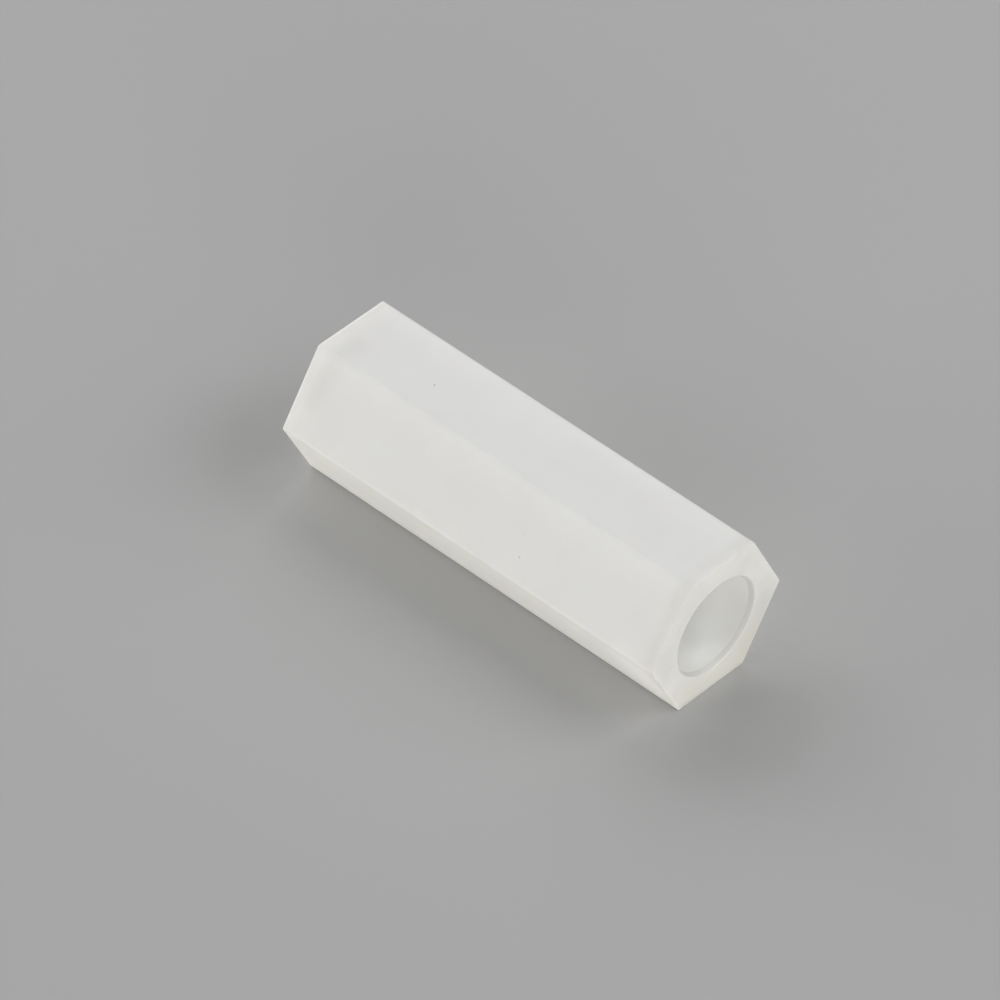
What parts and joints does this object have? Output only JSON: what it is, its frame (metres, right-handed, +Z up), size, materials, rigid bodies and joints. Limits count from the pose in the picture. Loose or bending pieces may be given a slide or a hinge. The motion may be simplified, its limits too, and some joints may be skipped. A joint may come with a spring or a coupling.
{
  "type": "hex standoff",
  "caption": "Hexagonal standoff in translucent natural nylon with a plain screw-clearance bore from end to end and flared mouths.",
  "frame": {"origin": "on the flat that the standoff lies on, under the middle of its length", "axes": "+X along the bore, out of one mouth; +Y level across the corners; +Z up, square to the flat"},
  "size_m": [0.019, 0.0072, 0.0063],
  "materials": {
    "natural_nylon": "moulded satin, milky and translucent"
  },
  "bodies": {
    "root": {"standoff_body": "natural_nylon"}
  },
  "joints": []
}
